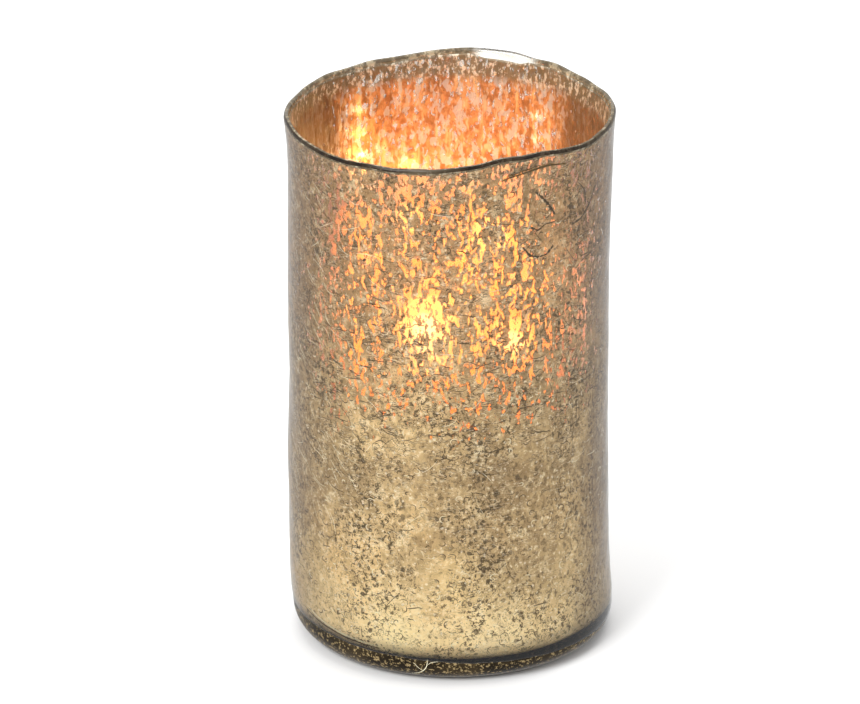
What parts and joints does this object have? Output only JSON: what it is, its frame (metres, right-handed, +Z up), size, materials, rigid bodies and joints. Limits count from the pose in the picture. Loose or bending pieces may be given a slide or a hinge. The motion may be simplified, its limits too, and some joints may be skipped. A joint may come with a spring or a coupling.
{
  "type": "tealight holder",
  "caption": "Tall hand-blown glass cup, silvered inside in crackled antique gold, with an uneven rim, holding a lit standard tealight.",
  "frame": {"origin": "centre of the flat foot, on the table", "axes": "+Z up along the cup's axis, -Y to the front as pictured, +X to the right"},
  "size_m": [0.0902, 0.09, 0.1535],
  "materials": {
    "clear_glass": "hand-blown clear glass, slightly wavy, fire-polished rim",
    "antique_silvering": "crackled antique-gold silvering with pits and flecks that let light through",
    "tealight_aluminium": "bright pressed foil",
    "candle_wax": "white paraffin wax with a molten pool",
    "sustainer_steel": "tinned sheet steel",
    "wick_cotton": "braided cotton, charred at the tip"
  },
  "bodies": {
    "holder": {"glass_vessel": "clear_glass", "silvered_lining": "antique_silvering"},
    "tealight": {"tealight_cup": "tealight_aluminium"},
    "candle": {"tealight_wax": "candle_wax", "wick_sustainer": "sustainer_steel", "wick": "wick_cotton"}
  },
  "joints": [
    {"name": "tealight_lift", "type": "slide", "parent": "holder", "child": "tealight", "axis": [0, 0, 1], "range_m": [0, 0.165]},
    {"name": "wax_lift", "type": "slide", "parent": "tealight", "child": "candle", "axis": [0, 0, 1], "range_m": [0, 0.03]}
  ]
}
